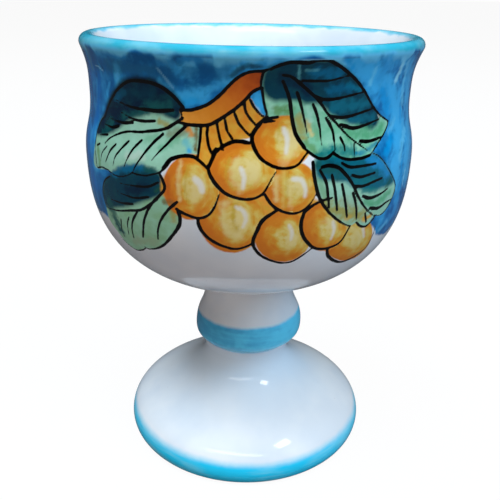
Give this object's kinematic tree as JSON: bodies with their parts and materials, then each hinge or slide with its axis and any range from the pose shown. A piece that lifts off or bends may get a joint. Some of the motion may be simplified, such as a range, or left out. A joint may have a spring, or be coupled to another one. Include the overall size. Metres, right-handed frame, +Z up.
{
  "type": "goblet",
  "caption": "Thrown pottery goblet with a deep bulging bowl and flared lip, a hollow knopped stem and a hollow bell foot, glazed and painted with a grape ornament.",
  "frame": {"origin": "centre of the foot ring, on the surface that the goblet stands on", "axes": "+Z up along the turning axis; the painted front of the bowl faces -Y"},
  "size_m": [0.1044, 0.1044, 0.14],
  "materials": {
    "bowl_glaze": "glossy painted glaze",
    "joint_glaze": "glossy white glaze",
    "stem_glaze": "glossy white glaze with a blue band",
    "foot_glaze": "glossy white glaze with a turquoise edge"
  },
  "bodies": {
    "root": {"bowl": "bowl_glaze", "upper_luting_ring": "joint_glaze", "knopped_stem": "stem_glaze", "lower_luting_ring": "joint_glaze", "bell_foot": "foot_glaze"}
  },
  "joints": []
}
